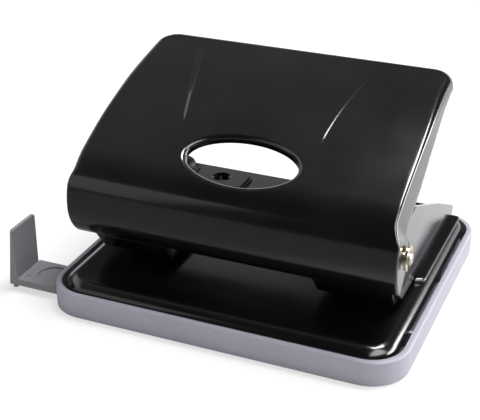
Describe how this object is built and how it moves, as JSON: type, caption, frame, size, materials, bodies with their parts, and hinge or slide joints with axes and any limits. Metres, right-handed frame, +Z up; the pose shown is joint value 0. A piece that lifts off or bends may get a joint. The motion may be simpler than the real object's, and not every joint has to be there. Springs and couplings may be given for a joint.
{
  "type": "two-hole paper punch",
  "caption": "Desk paper punch: black pressed lever handle with an oval window over a steel frame with guided punches, in a grey chip tray with a sliding paper guide.",
  "frame": {"origin": "middle of the chip tray's underside, on the table", "axes": "+X to the right along the pivot pins, +Y to the back, +Z up"},
  "size_m": [0.1457, 0.1116, 0.0753],
  "materials": {
    "tray_plastic": "fine-grained moulded plastic, cool grey",
    "guide_plastic": "moulded plastic, warm dark grey",
    "black_paint": "gloss black stove enamel",
    "bright_steel": "ground and hardened steel",
    "plated_steel": "bright zinc plate",
    "brass": "yellow passivated",
    "rubber": "black rubber"
  },
  "bodies": {
    "tray": {"chip_tray": "tray_plastic"},
    "base": {"base_plate": "black_paint", "punch_frame": "black_paint", "stop_plate": "black_paint", "bump_stop": "rubber", "die_left": "bright_steel", "pivot_pin_left": "plated_steel", "e_clip_left": "brass", "spacer_left": "plated_steel", "die_right": "bright_steel", "pivot_pin_right": "plated_steel", "e_clip_right": "brass", "spacer_right": "plated_steel"},
    "guide": {"paper_guide": "guide_plastic"},
    "handle": {"handle_shell": "black_paint", "press_bracket_left": "black_paint", "press_bracket_right": "black_paint"},
    "punch_left": {"punch_pin_left": "bright_steel", "spring_washer_left": "plated_steel", "punch_spring_left": "plated_steel"},
    "punch_right": {"punch_pin_right": "bright_steel", "spring_washer_right": "plated_steel", "punch_spring_right": "plated_steel"}
  },
  "joints": [
    {"name": "base_open", "type": "hinge", "parent": "tray", "child": "base", "pos_m": [0, 0.046, 0.0062], "axis": [-1, 0, 0], "range_deg": [0, 40]},
    {"name": "guide_slide", "type": "slide", "parent": "tray", "child": "guide", "axis": [-1, 0, 0], "range_m": [-0.0105, 0.072]},
    {"name": "handle_press", "type": "hinge", "parent": "base", "child": "handle", "pos_m": [0, -0.036, 0.037], "axis": [-1, 0, 0], "range_deg": [0, 22.3], "stiffness_Nm_per_rad": 0.5, "springref_deg": -28.65},
    {"name": "punch_slide_left", "type": "slide", "parent": "base", "child": "punch_left", "axis": [0, 0, -1], "range_m": [0, 0.0075], "deforming": ["punch_spring_left"]},
    {"name": "punch_slide_right", "type": "slide", "parent": "base", "child": "punch_right", "axis": [0, 0, -1], "range_m": [0, 0.0075], "deforming": ["punch_spring_right"]}
  ],
  "couplings": [
    {"joint": "punch_slide_left", "follows": "handle_press", "m_per_rad": 0.0186},
    {"joint": "punch_slide_right", "follows": "handle_press", "m_per_rad": 0.0186}
  ]
}
